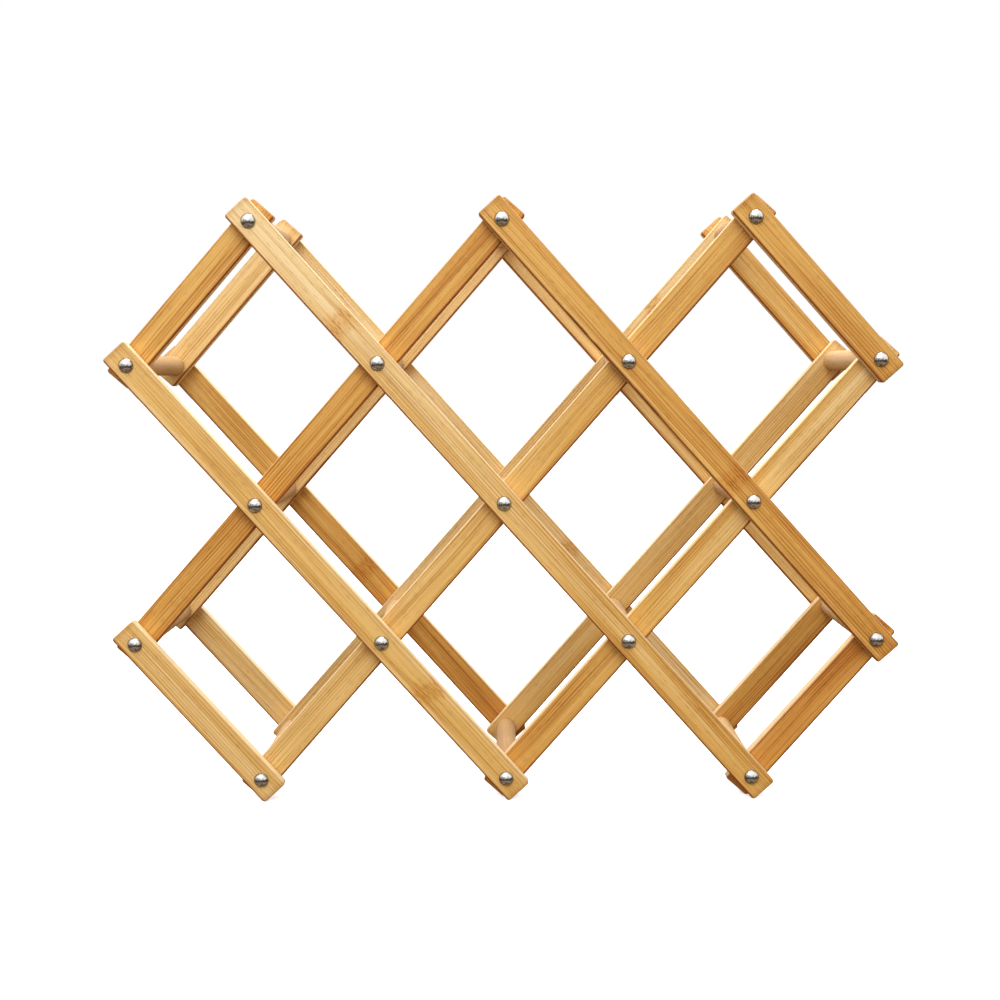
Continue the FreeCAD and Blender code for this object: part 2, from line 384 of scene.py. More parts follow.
def glued_strips(tree, across, seed, drift):
    """The ground colour of a slat, and a mask of the glue lines between its strips."""
    lamina_at = tree.math("ADD", tree.math("DIVIDE", across, LAMINA_WIDTH), seed)
    strips = tree.add("ShaderNodeTexVoronoi", voronoi_dimensions="1D")
    joints = tree.add(
        "ShaderNodeTexVoronoi", voronoi_dimensions="1D", feature="DISTANCE_TO_EDGE")
    for texture in (strips, joints):
        tree.feed(texture.inputs["W"], lamina_at)
        tree.feed(texture.inputs["Scale"], 1.0)
        tree.feed(texture.inputs["Randomness"], STRIP_UNEVENNESS)
    strip_luck = tree.math("SUBTRACT", tree.parts_of(strips.outputs["Color"])[0], 0.5)
    from_drift = tree.math("SUBTRACT", drift, 0.5)
    level = attribute(tree, "strip_tone")
    level = tree.math("ADD", level, tree.product(strip_luck, 0.20))
    level = tree.math("ADD", level, tree.product(from_drift, 0.42))
    joint = tree.ramp_value(joints.outputs["Distance"], 0.0, 0.045, 1.0, 0.0)
    return colour_ramp(tree, level, BAMBOO_TONES), joint


print("strips of", LAMINA_WIDTH, "m in", len(BAMBOO_TONES), "tones of tan")

# %% [markdown]
# ## The bamboo: fibres and vessels
#
# Over the ground lie the fine straight fibres, the rows of fibre bundles, a few darker streaks,
# short dashes where the plane cut vessels open, and tiny pores. A dark cane shows them more than
# a pale one. The sawn sides of a slat are smooth and hardly show them, so the mask `flat` keeps
# them to the broad faces.

# %% Fibres and vessels
VESSEL = {"Dash Width": 0.00062, "Dash Length": 0.0062, "Share": 0.24}
PORE_SCALE = 1500.0


def fibres(tree, base, grain, joint, flat):
    depth = tree.math("MULTIPLY_ADD", attribute(tree, "strip_tone"), 0.40, 0.42)
    depth = tree.product(depth, flat)
    fine = tree.ramp_value(grain["Fine"], 0.49, 0.61)
    base = tint(tree, base, (0.68, 0.50, 0.30), tree.product(fine, depth))
    ribs = tree.ramp_value(grain["Ribs"], 0.46, 0.86)
    base = tint(tree, base, (0.58, 0.39, 0.20), tree.product(ribs, depth))
    pale = tree.ramp_value(grain["Fine"], 0.48, 0.34)
    base = tint(tree, base, (1.0, 0.80, 0.50), tree.product(pale, flat, 0.07), "SCREEN")
    streaks = tree.ramp_value(grain["Streaks"], 0.60, 0.70)
    base = tint(tree, base, (0.60, 0.42, 0.20), tree.product(streaks, flat, 0.30))
    return tint(tree, base, (0.62, 0.45, 0.28), tree.product(joint, 0.45))


def vessels_and_pores(tree, base, place, seed, flat):
    """The base with its vessel dashes and pores, and the mask of the dashes."""
    dashes = group_in(tree, VESSEL_DASHES, {"Place": place, "Seed": seed, **VESSEL})["Dashes"]
    base = tint(tree, base, (0.50, 0.30, 0.13), tree.product(dashes, flat, 0.40))
    speck = tree.ramp_value(tree.noise(place, PORE_SCALE, detail=1.0), 0.40, 0.62)
    return tint(tree, base, (0.84, 0.76, 0.66), tree.product(speck, flat, 0.30)), dashes


print("vessel dashes are", VESSEL["Dash Length"], "m long")

# %% [markdown]
# ## The bamboo: knuckles and skin
#
# A cane has a ring every foot or so. Where a slat was cut through one, the fibres break up for
# about two centimetres and the ground is a little deeper: that is the knuckle. Its place is
# stored on the mesh, and a slat without one has it far off its end. On a slat or two a streak of
# the cane's brown skin is left on the lower arris, ragged where the plane just missed it.

# %% Knuckles and skin
KNUCKLE_CORE = 0.002
KNUCKLE_HALF = 0.0095
KNUCKLE_WAVE = 0.016
WAVES_PER_METRE = 330.0
BROKEN_FIBRE = {"Dash Width": 0.00075, "Dash Length": 0.0052, "Share": 0.85}
SKIN_MIDDLE = -0.057
SKIN_HALF = 0.034
SKIN_FADE = 1.25
PATCHES_PER_METRE = 22.0


def knuckle(tree, base, place, seed):
    """The base with the slat's knuckle, and the mask of its broken fibres."""
    along, across, _ = tree.parts_of(place)
    uneven = tree.noise(tree.vector(seed, tree.product(across, WAVES_PER_METRE), 0.0))
    wave = tree.product(tree.math("SUBTRACT", uneven, 0.5), KNUCKLE_WAVE)
    offset = tree.math("SUBTRACT", along, attribute(tree, "strip_knuckle"))
    offset = tree.math("ABSOLUTE", tree.math("ADD", offset, wave))
    near = tree.ramp_value(offset, KNUCKLE_CORE, KNUCKLE_HALF, 1.0, 0.0)
    broken = group_in(tree, VESSEL_DASHES, {"Place": place, "Seed": seed, **BROKEN_FIBRE})
    broken_fibre = tree.product(broken["Dashes"], near)
    base = tint(tree, base, (0.88, 0.70, 0.45), tree.product(near, 0.75))
    base = tint(tree, base, (0.42, 0.22, 0.07), tree.product(broken_fibre, 0.68))
    return base, broken_fibre


def cane_skin(tree, base, along, across, seed):
    """The base with its streak of skin, and the mask of the streak."""
    on_edge = tree.ramp_value(across, -0.0060, -0.0072)
    patch = tree.vector(tree.product(along, PATCHES_PER_METRE), 0.0, seed)
    ragged = tree.ramp_value(tree.noise(patch, detail=3.0, roughness=0.7), 0.36, 0.46)
    from_middle = tree.math("ABSOLUTE", tree.math("SUBTRACT", along, SKIN_MIDDLE))
    reach = tree.ramp_value(from_middle, SKIN_HALF, SKIN_FADE * SKIN_HALF, 1.0, 0.0)
    skin = tree.product(on_edge, ragged, reach, attribute(tree, "strip_skin"))
    return tint(tree, base, (0.30, 0.11, 0.02), tree.product(skin, 0.85), "MIX"), skin


print("a knuckle reaches", KNUCKLE_HALF, "m either way")

# %% [markdown]
# ## The bamboo: sides, arrises and ends
#
# The sawn sides are paler: partly their edge grain, partly a painted sheen standing in for the top
# light on the upper sides. The arrises are painted darker, a painted shade where they turn away
# from the light, and the lower one most of all, a painted shade under the slat. The faces are
# painted darker over the last few millimetres before the ends, a painted shade beside the
# crossings, and the end grain is brown. All of it comes from one measure: how far a point is from
# the slat's edges.

# %% Sides, arrises and ends
SIDE_FROM, SIDE_TO = 0.0073, 0.0078
ARRIS_FROM, ARRIS_TO = 0.0003, 0.0013
OUTER_FROM, OUTER_TO = 0.0026, 0.0034
LOWER_SHADE_FROM, LOWER_SHADE_TO = -0.0064, -0.0075
END_SHADE_REACH = 0.0042
END_FROM, END_TO = 0.0002, 0.0007


def arrises_and_ends(tree, base, along, across, deep):
    """The base with painted shade on its arrises and ends, brown end grain, and the arris mask."""
    from_edge = tree.math("SUBTRACT", SLAT_WIDTH / 2, tree.math("ABSOLUTE", across))
    outer_face = tree.ramp_value(tree.math("ABSOLUTE", deep), OUTER_FROM, OUTER_TO)
    arris = tree.ramp_value(from_edge, ARRIS_FROM, ARRIS_TO, 1.0, 0.0)
    arris = tree.product(arris, outer_face)
    # painted shade: the arrises are darkened where they turn away from the light
    base = tint(tree, base, (0.58, 0.45, 0.31), tree.product(arris, 0.78))
    # painted shade: the lower arris is painted dark brown, standing in for the shade under the slat
    painted_lower_shade = tree.ramp_value(across, LOWER_SHADE_FROM, LOWER_SHADE_TO)
    base = tint(tree, base, (0.52, 0.25, 0.07), tree.product(painted_lower_shade, outer_face))
    to_end = tree.math("SUBTRACT", attribute(tree, "strip_half"), tree.math("ABSOLUTE", along))
    # painted shade: the faces darken towards each end, for the shade beside the crossings
    near_end = tree.ramp_value(to_end, 0.0, END_SHADE_REACH, 1.0, 0.0)
    base = tint(tree, base, (0.74, 0.64, 0.56), tree.product(near_end, 0.75))
    on_end = tree.ramp_value(to_end, END_FROM, END_TO, 1.0, 0.0)
    return tint(tree, base, (0.46, 0.27, 0.12), tree.product(on_end, 0.80), "MIX"), arris


print("the ends darken over", END_SHADE_REACH, "m")

# %% [markdown]
# ## The bamboo material
#
# Now the veils go on in order, and the same masks set the gloss: satin lacquer on the faces,
# duller on the arrises, the sides and the skin. The bump is slight, because the slats are planed:
# only the fibres, the open vessels and the broken fibres of a knuckle are felt.

# %% The bamboo material
FIBRE_WIDTH = 0.00056
FIBRE_LENGTH = 0.065
WANDER = 0.0012
BUMP_DEPTH = 0.00012
SATIN = 0.49


def bamboo_material():
    material, tree, shader = new_material("bamboo")
    place = attribute(tree, "strip_place", "Vector")
    seed = attribute(tree, "strip_seed")
    along, across, deep = tree.parts_of(place)
    grain = group_in(tree, FIBRE_GRAIN, {
        "Place": place, "Seed": seed, "Fibre Width": FIBRE_WIDTH,
        "Fibre Length": FIBRE_LENGTH, "Wander": WANDER})
    side = tree.ramp_value(tree.math("ABSOLUTE", across), SIDE_FROM, SIDE_TO)
    flat = tree.math("SUBTRACT", 1.0, side)

    base, joint = glued_strips(tree, across, seed, grain["Drift"])
    base = fibres(tree, base, grain, joint, flat)
    base, dashes = vessels_and_pores(tree, base, place, seed, flat)
    base, broken_fibre = knuckle(tree, base, place, seed)
    base, skin = cane_skin(tree, base, along, across, seed)
    # painted sheen and edge grain: the sides go pale cream, partly paler grain, partly top-light
    # sheen
    base = tint(tree, base, (0.92, 0.73, 0.45), tree.product(side, 0.62), "MIX")
    base, arris = arrises_and_ends(tree, base, along, across, deep)
    tree.feed(shader.inputs["Base Color"], base)

    uneven_gloss = tree.product(tree.math("SUBTRACT", grain["Fine"], 0.5), flat)
    rough = tree.math("MULTIPLY_ADD", uneven_gloss, 0.35, SATIN)
    for mask, duller in ((side, 0.12), (arris, 0.22), (skin, 0.15)):
        rough = tree.math("ADD", rough, tree.product(mask, duller))
    tree.feed(shader.inputs["Roughness"], rough)
    shader.inputs["Specular IOR Level"].default_value = 0.28

    height = tree.math("SUBTRACT", tree.product(grain["Fine"], 0.6), dashes)
    height = tree.math("SUBTRACT", height, tree.product(broken_fibre, 0.8))
    bump = tree.add("ShaderNodeBump", {
        "Strength": 0.45, "Distance": BUMP_DEPTH, "Height": tree.product(height, flat)})
    tree.feed(shader.inputs["Normal"], bump.outputs["Normal"])
    return material


BAMBOO = bamboo_material()
print("material:", BAMBOO.name, "with", len(BAMBOO.node_tree.nodes), "nodes")

# %% [markdown]
# ## The beech dowels
#
# The dowels are plain turned beech, paler and pinker than the bamboo, with short flecks along the
# grain. They use the same grain group with wider fibres, and the same dashes, made small and faint.

# %% The beech material
def beech_material():
    material, tree, shader = new_material("beech")
    place = attribute(tree, "rod_place", "Vector")
    seed = attribute(tree, "rod_seed")
    grain = group_in(tree, FIBRE_GRAIN, {
        "Place": place, "Seed": seed, "Fibre Width": 0.0011, "Fibre Length": 0.035,
        "Wander": WANDER})
    level = tree.math("MULTIPLY_ADD", grain["Drift"], 0.9, -0.15)
    level = tree.math("ADD", level, tree.product(seed, 0.035))
    base = colour_ramp(tree, level, [
        (0.15, (0.72, 0.50, 0.26)),
        (0.45, (0.60, 0.38, 0.175)),
        (0.75, (0.47, 0.27, 0.115)),
    ])
    fine = tree.ramp_value(grain["Fine"], 0.42, 0.72, 0.0, 1.0)
    base = tint(tree, base, (0.84, 0.70, 0.56), tree.product(fine, 0.45))
    flecks = group_in(tree, VESSEL_DASHES, {
        "Place": place, "Seed": seed, "Dash Width": 0.0007, "Dash Length": 0.0032, "Share": 0.45})
    base = tint(tree, base, (0.62, 0.40, 0.24), tree.product(flecks["Dashes"], 0.50))
    tree.feed(shader.inputs["Base Color"], base)
    tree.feed(shader.inputs["Roughness"], tree.ramp_value(grain["Fine"], 0.3, 0.7, 0.50, 0.64))
    shader.inputs["Specular IOR Level"].default_value = 0.35
    height = tree.math("SUBTRACT", tree.product(grain["Fine"], 0.7), flecks["Dashes"])
    bump = tree.add("ShaderNodeBump", {
        "Strength": 0.35, "Distance": BUMP_DEPTH, "Height": height})
    tree.feed(shader.inputs["Normal"], bump.outputs["Normal"])
    return material


BEECH = beech_material()
print("material:", BEECH.name, "with", len(BEECH.node_tree.nodes), "nodes")

# %% [markdown]
# ## The polished nickel
#
# The heads are mirror-bright nickel plate. A perfect mirror looks like a computer ball, so the
# roughness carries faint smears and hair scratches. The foot of each dome is painted dark brown, a
# painted shade and dark reflection where the rim meets the wood: the mesh stores how far out each
# point of a head is.

# %% The nickel material
RIM_SHADE_FROM, RIM_SHADE_TO = 0.70, 0.98
SMEAR_SCALE = 420.0
HAIR_STRETCH = (9000.0, 700.0, 500.0)
HAIR_TURN = (0.0, 0.7, 0.4)


def nickel_material():
    material, tree, shader = new_material("nickel")
    place = tree.add("ShaderNodeTexCoord").outputs["Object"]
    smears = tree.noise(place, SMEAR_SCALE, detail=3.0)
    turned = tree.add("ShaderNodeMapping", {
        "Vector": place, "Rotation": HAIR_TURN, "Scale": HAIR_STRETCH})
    hair = tree.ramp_value(tree.noise(turned.outputs["Vector"]), 0.66, 0.74)
    base = colour_ramp(tree, smears, [
        (0.3, (0.90, 0.88, 0.85)), (0.7, (0.80, 0.77, 0.72))])
    uneven_rim = tree.product(tree.math("SUBTRACT", smears, 0.5), 0.16)
    reach = tree.math("ADD", attribute(tree, "head_reach"), uneven_rim)
    # painted shade: the foot of each dome is painted brown, for its dark reflection and shade there
    painted_rim_shade = tree.ramp_value(reach, RIM_SHADE_FROM, RIM_SHADE_TO)
    base = tint(tree, base, (0.20, 0.135, 0.085), tree.product(painted_rim_shade, 0.85))
    tree.feed(shader.inputs["Base Color"], base)
    shader.inputs["Metallic"].default_value = 1.0
    rough = tree.ramp_value(smears, 0.35, 0.7, 0.08, 0.18)
    for mask, duller in ((painted_rim_shade, 0.16), (hair, 0.10)):
        rough = tree.math("ADD", rough, tree.product(mask, duller))
    tree.feed(shader.inputs["Roughness"], rough)
    bump = tree.add("ShaderNodeBump", {"Strength": 0.08, "Distance": 0.00005, "Height": hair})
    tree.feed(shader.inputs["Normal"], bump.outputs["Normal"])
    return material


NICKEL = nickel_material()
print("material:", NICKEL.name, "with", len(NICKEL.node_tree.nodes), "nodes")

# %% [markdown]
# ## The slats
#
# A slat could be a scaled cube, but then its corners, its arrises and its bores would all be
# missing. This tree draws the outline as a rounded rectangle, adds a circle for each bore, fills
# between them and pulls the face out to a strip. Before the strip is turned into place, each point
# writes down where it is in the slat's own measure: that is what the bamboo reads later, so the
# grain follows the slat at any angle. The outer edges are marked for the Bevel modifier, which
# rounds only those.

# %% The slat tree
CORNER_STEPS = 6
BORE_SIDES = 24
WELD = 1e-6
SHARP_ANGLE = 1.0  # radians
PAST_BORE = 1.2    # in bore radii: edges nearer than this belong to a bore


def slat_tree():
    tree, given, result = new_tree(
        "Bored Slat",
        "GeometryNodeTree",
        [("Geometry", GEOMETRY, None), ("Length", FLOAT, 0.442), ("Width", FLOAT, 0.016),
         ("Thickness", FLOAT, 0.008), ("Corner Radius", FLOAT, 0.0016),
         ("Bores", INTEGER, 5), ("Bore Spacing", FLOAT, 0.105), ("Bore Radius", FLOAT, 0.0017),
         ("Turn", FLOAT, 0.0), ("Centre", VECTOR, None), ("Seed", FLOAT, 0.0),
         ("Start Tone", FLOAT, 0.5), ("End Tone", FLOAT, 0.5), ("Knuckle", FLOAT, 0.0),
         ("Skin", FLOAT, 0.0), ("Material", MATERIAL, None)],
        [("Geometry", GEOMETRY)],
    )
    outline = tree.add("GeometryNodeCurvePrimitiveQuadrilateral", {
        "Width": given["Length"], "Height": given["Width"]})
    rounded = tree.add("GeometryNodeFilletCurve", {
        "Curve": outline.outputs[0], "Radius": given["Corner Radius"], "Count": CORNER_STEPS},
        mode="POLY")
    first = tree.product(tree.math("SUBTRACT", given["Bores"], 1.0), -0.5)
    half_row = tree.product(first, given["Bore Spacing"])
    row = tree.add("GeometryNodeMeshLine", {
        "Count": given["Bores"], "Start Location": tree.vector(half_row, 0.0, 0.0),
        "Offset": tree.vector(given["Bore Spacing"], 0.0, 0.0)}, mode="OFFSET")
    circle = tree.add("GeometryNodeCurvePrimitiveCircle", {
        "Resolution": BORE_SIDES, "Radius": given["Bore Radius"]})
    bores = tree.add("GeometryNodeInstanceOnPoints", {
        "Points": row.outputs[0], "Instance": circle.outputs[0]})
    real_bores = tree.add("GeometryNodeRealizeInstances", {"Geometry": bores.outputs[0]})
    drawing = tree.join(rounded.outputs[0], real_bores.outputs[0])
    face = tree.add("GeometryNodeFillCurve", {"Curve": drawing}, mode="NGONS")
    pulled = tree.add("GeometryNodeExtrudeMesh", {
        "Mesh": face.outputs[0], "Offset Scale": given["Thickness"], "Individual": False})
    back = tree.add("GeometryNodeFlipFaces", {"Mesh": face.outputs[0]})
    both = tree.join(pulled.outputs[0], back.outputs[0])
    closed = tree.add("GeometryNodeMergeByDistance", {"Geometry": both, "Distance": WELD})
    sink = tree.vector(0.0, 0.0, tree.product(given["Thickness"], -0.5))
    centred = tree.add("GeometryNodeTransform", {
        "Geometry": closed.outputs[0], "Translation": sink})

    # notes that the bamboo reads: place, tone along the strip, seed, knuckle, skin
    position = tree.add("GeometryNodeInputPosition").outputs[0]
    along, across, deep = tree.parts_of(position)
    share = tree.math("ADD", tree.math("DIVIDE", along, given["Length"]), 0.5)
    change = tree.math("SUBTRACT", given["End Tone"], given["Start Tone"])
    tone = tree.math("ADD", given["Start Tone"], tree.product(share, change))
    half_length = tree.product(given["Length"], 0.5)
    strip = centred.outputs[0]
    notes = [("strip_place", "FLOAT_VECTOR", position), ("strip_tone", "FLOAT", tone),
             ("strip_seed", "FLOAT", given["Seed"]), ("strip_knuckle", "FLOAT", given["Knuckle"]),
             ("strip_skin", "FLOAT", given["Skin"]), ("strip_half", "FLOAT", half_length)]
    for name, kind, value in notes:
        strip = tree.note(strip, name, value, kind)

    # which edges the bevel rounds: sharp ones that aren't the rim of a bore
    angle = tree.add("GeometryNodeInputMeshEdgeAngle").outputs["Unsigned Angle"]
    sharp = tree.math("GREATER_THAN", angle, SHARP_ANGLE)
    reach = tree.product(given["Bore Radius"], PAST_BORE)
    off_line = tree.math("GREATER_THAN", tree.math("ABSOLUTE", across), reach)
    last_rim = tree.math("ADD", tree.math("ABSOLUTE", half_row), reach)
    beyond = tree.math("GREATER_THAN", tree.math("ABSOLUTE", along), last_rim)
    outer = tree.product(sharp, tree.math("MAXIMUM", off_line, beyond))
    rim = tree.math("SUBTRACT", sharp, outer)
    strip = tree.note(strip, "bevel_weight_edge", outer, domain="EDGE")
    strip = tree.note(strip, "sharp_edge", rim, "BOOLEAN", "EDGE")

    stand = tree.vector(math.pi / 2, given["Turn"], 0.0)
    placed = tree.add("GeometryNodeTransform", {
        "Geometry": strip, "Translation": given["Centre"], "Rotation": stand})
    smooth = tree.add("GeometryNodeSetShadeSmooth", {"Geometry": placed.outputs[0]})
    real = tree.add("GeometryNodeRealizeInstances", {"Geometry": smooth.outputs[0]})
    painted = tree.add("GeometryNodeSetMaterial", {
        "Geometry": real.outputs[0], "Material": given["Material"]})
    tree.feed(result.inputs["Geometry"], painted.outputs[0])
    return tree.tree


BORED_SLAT = slat_tree()
print("tree:", BORED_SLAT.name, "with", len(BORED_SLAT.nodes), "nodes")

# %% [markdown]
# Each slat is then one run of the tree. Its bores are listed by its number, one for each crossing
# that lies on it, and its centre is the middle of its own box in the frame. The tones are the
# maker's luck: the list says how pale or deep the cane was at the two ends of each slat.

# %% Make the twenty slats
CORNER_RADIUS = 0.0016
ARRIS_RADIUS = 0.0008
ARRIS_STEPS = 4
END_OVERHANG = 0.011
BORE_RADIUS = 0.00168
BORE_COUNTS = {1: 2, 2: 4, 3: 5, 4: 4, 5: 2}
# (upper left, lower right) for falling slats and (lower left, upper right) for rising ones
TONES = {
    ("front", "falling"): [(0.29, 0.29), (0.33, 0.43), (0.03, 0.59), (0.58, 0.72), (0.58, 0.62)],
    ("front", "rising"): [(0.62, 0.60), (0.68, 0.72), (0.33, 0.64), (0.80, 0.24), (0.89, 0.89)],
    ("rear", "falling"): [(0.20, 0.24), (0.42, 0.84), (0.10, 0.16), (0.34, 0.40), (0.48, 0.56)],
    ("rear", "rising"): [(0.28, 0.24), (0.24, 0.18), (0.20, 0.02), (0.44, 0.30), (0.80, 0.76)],
}
# where the knuckle of a slat is, along from its middle; the others have theirs cut off
KNUCKLES = {
    "front_falling_slat_3": -0.1345, "front_falling_slat_2": 0.091, "front_falling_slat_4": 0.037,
    "rear_rising_slat_3": 0.150, "rear_falling_slat_2": 0.020, "rear_falling_slat_3": 0.060,
}
NO_KNUCKLE = 9.0
SEED_SPACING = 1.37
SKIN_LEFT_ON = {"front_falling_slat_4": 1.0, "rear_rising_slat_2": 0.7}


def round_arrises(carrier):
    """Round the marked edges of a strip, keeping its flat faces flat."""
    bevel = carrier.modifiers.new("arrises", "BEVEL")
    bevel.limit_method = "WEIGHT"
    bevel.width = ARRIS_RADIUS
    bevel.segments = ARRIS_STEPS
    bevel.harden_normals = True


def make_slat(node, number, falling, tones, seed):
    bores = BORE_COUNTS[number]
    return bake_piece(
        f"bamboo_{node}", bpy.data.meshes.new(node), BORED_SLAT,
        {"Length": (bores - 1) * PITCH + 2 * END_OVERHANG, "Width": SLAT_WIDTH,
         "Thickness": SLAT_THICKNESS, "Corner Radius": CORNER_RADIUS, "Bores": bores,
         "Bore Spacing": PITCH, "Bore Radius": BORE_RADIUS, "Turn": LEAN if falling else -LEAN,
         "Centre": middle_of(node), "Seed": seed, "Start Tone": tones[0], "End Tone": tones[1],
         "Knuckle": KNUCKLES.get(node, NO_KNUCKLE), "Skin": SKIN_LEFT_ON.get(node, 0.0),
         "Material": BAMBOO},
        round_arrises,
    )


slats = []
for (side, way), tone_list in TONES.items():
    for number, tones in enumerate(tone_list, start=1):
        node = f"{side}_{way}_slat_{number}"
        seed = SEED_SPACING * (len(slats) + 1)
        slat = make_slat(node, number, way == "falling", tones, seed)
        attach(slat, BODY_OF[node])
        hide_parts(node)
        slats.append(slat)
print(len(slats), "slats,", len(slats[0].data.polygons), "faces on the first")

# %% [markdown]
# ## Turned pieces
#
# Dowels and pins are round, so each is a half-section spun about an axis. The section is a short
# list of (radius, depth) points. The function makes rings of vertices and closes the ends on the
# axis with one vertex each, so there is no seam and no open pole.

# %% A small lathe
RING = 40


def turned_mesh(name, section, steps=RING):
    """Spin a half-section about the Y axis; it starts and ends on the axis. Faces point out."""
    points = [Vector((0.0, section[0][1], 0.0))]
    for radius, depth in section[1:-1]:
        for step in range(steps):
            angle = 2 * math.pi * step / steps
            points.append(Vector((radius * math.cos(angle), depth, radius * math.sin(angle))))
    points.append(Vector((0.0, section[-1][1], 0.0)))
    faces = []
    rings = len(section) - 2
    last = len(points) - 1
    for step in range(steps):
        following = (step + 1) % steps
        faces.append((0, 1 + step, 1 + following))
        for ring in range(rings - 1):
            here, there = 1 + ring * steps, 1 + (ring + 1) * steps
            faces.append((here + step, there + step, there + following, here + following))
        faces.append((last, last - steps + following, last - steps + step))
    mesh = bpy.data.meshes.new(name)
    mesh.from_pydata(points, [], faces)
    return mesh


def smooth(mesh):
    for polygon in mesh.polygons:
        polygon.use_smooth = True
    return mesh


def outward(mesh):
    """Turn a closed shell's faces to point out."""
    shell = bmesh.new()
    shell.from_mesh(mesh)
    bmesh.ops.recalc_face_normals(shell, faces=shell.faces)
    shell.to_mesh(mesh)
    shell.free()
    return mesh


def arc(centre_radius, centre_depth, radius, start, end, steps):
    """Points on an arc of a section, between two angles in degrees from the radius direction."""
    points = []
    for step in range(steps + 1):
        angle = math.radians(start + (end - start) * step / steps)
        across = centre_radius + radius * math.cos(angle)
        points.append((across, centre_depth + radius * math.sin(angle)))
    return points


print("a turned piece has", RING, "sides")

# %% [markdown]
# ## Repeating the turned pieces at the crossings
#
# Every falling slat carries the dowels and pins of its own crossings. So for each body there is a
# little cloud of points, one per crossing, and this tree puts one turned piece on each. A random
# turn about the dowel's own axis keeps neighbours from showing the same grain, and a random seed
# goes down to the material. Each body gets one mesh, because that is what moves as one.

# %% The crossing tree
MOST_GRAIN = 9.0     # the largest seed that a piece hands to its material
SEEDS_APART = 50.0   # keeps the random seeds away from the random turns


def crossing_tree():
    tree, given, result = new_tree(
        "Piece At Each Crossing",
        "GeometryNodeTree",
        [("Geometry", GEOMETRY, None), ("Piece", OBJECT, None), ("Largest Turn", FLOAT, math.tau),
         ("Seed", INTEGER, 1), ("Material", MATERIAL, None)],
        [("Geometry", GEOMETRY)],
    )
    source = tree.add("GeometryNodeObjectInfo", {"Object": given["Piece"]})
    spin = tree.add("FunctionNodeRandomValue", data_type="FLOAT")
    spin.inputs[2].default_value = 0.0
    tree.feed(spin.inputs[3], given["Largest Turn"])
    tree.feed(spin.inputs["Seed"], given["Seed"])
    turn = tree.vector(0.0, spin.outputs[1], 0.0)
    pieces = tree.add("GeometryNodeInstanceOnPoints", {
        "Points": given["Geometry"], "Instance": source.outputs["Geometry"], "Rotation": turn})
    seeds = tree.add("FunctionNodeRandomValue", data_type="FLOAT")
    seeds.inputs[2].default_value = 0.0
    seeds.inputs[3].default_value = MOST_GRAIN
    tree.feed(seeds.inputs["Seed"], tree.math("ADD", given["Seed"], SEEDS_APART))
    seeded = tree.note(pieces.outputs[0], "rod_seed", seeds.outputs[1], domain="INSTANCE")
    real = tree.add("GeometryNodeRealizeInstances", {"Geometry": seeded})
    painted = tree.add("GeometryNodeSetMaterial", {
        "Geometry": real.outputs[0], "Material": given["Material"]})
    tree.feed(result.inputs["Geometry"], painted.outputs[0])
    return tree.tree


AT_EACH_CROSSING = crossing_tree()
print("tree:", AT_EACH_CROSSING.name, "with", len(AT_EACH_CROSSING.nodes), "nodes")


# %% One mesh for each body
FLAT_SHADED_FROM = math.radians(35)


def crossing_points(names):
    mesh = bpy.data.meshes.new("crossings")
    mesh.from_pydata([CROSSING[name] for name in names], [], [])
    return mesh


def repeat_on_bodies(prefix, node_prefix, master, names, material, first_seed):
    """One mesh for each body, with the master piece at each of that body's crossings."""
    bodies = {}
    for name in names:
        bodies.setdefault(BODY_OF[f"{node_prefix}{name}"], []).append(name)
    made = []
    for count, (body, group) in enumerate(sorted(bodies.items())):
        piece = bake_piece(
            f"{prefix}_{body}", crossing_points(group), AT_EACH_CROSSING,
            {"Piece": master, "Largest Turn": math.tau, "Seed": first_seed + count,
             "Material": material})
        piece.data.set_sharp_from_angle(angle=FLAT_SHADED_FROM)
        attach(piece, body)
        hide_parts(*[f"{node_prefix}{name}" for name in group])
        made.append(piece)
    return made


# %% [markdown]
# ## The dowels
#
# A dowel is sawn from a long rod, eased at both ends so that it does not scrape the slats, and
# drilled for its two pins. Nobody sees the drilled ends until the rack is taken apart, but they
# are part of the piece, so the section goes down into them.

# %% Turn and place the dowels
DOWEL_EASE = 0.0005
EASE_BELLY = 0.3 * DOWEL_EASE  # how far the middle of the eased edge lies inside the corner
DOWEL_SEED = 11
DRILL_RADIUS = 0.0016
DRILL_DEPTH = 0.023


def dowel_section():
    half = DOWEL_LENGTH / 2
    floor_of_drill = half - DRILL_DEPTH
    near_end = [
        (0.0, floor_of_drill), (DRILL_RADIUS, floor_of_drill), (DRILL_RADIUS, half),
        (DOWEL_RADIUS - DOWEL_EASE, half), (DOWEL_RADIUS - EASE_BELLY, half - EASE_BELLY),
        (DOWEL_RADIUS, half - DOWEL_EASE),
    ]
    far_end = [(radius, -depth) for radius, depth in near_end]
    return far_end + near_end[::-1]


def note_own_place(mesh):
    """Write each vertex's own place on the mesh, with the long axis first, for the grain."""
    note = mesh.attributes.new("rod_place", "FLOAT_VECTOR", "POINT")
    for index, vertex in enumerate(mesh.vertices):
        note.data[index].vector = (vertex.co.y, vertex.co.x, vertex.co.z)


dowel_mesh = smooth(outward(turned_mesh("dowel", dowel_section())))
note_own_place(dowel_mesh)
dowel_master = shown(bpy.data.objects.new("dowel_master", dowel_mesh))
dowels = repeat_on_bodies(
    "beech_dowels", "spacer_dowel_", dowel_master, sorted(CROSSING), BEECH,
    DOWEL_SEED)
bpy.data.objects.remove(dowel_master)

# %% [markdown]
# ## The pins
#
# Each pin is a short nail with a domed head. The dome is part of a ball a little larger than the
# head, and a narrow rolled edge meets the wood. The highlight on that edge is what makes the head
# look pressed from sheet instead of glued on. At the middle foot the heads stand a hair proud,
# because the slats under them turn, so that crossing's pins have a section of their own.

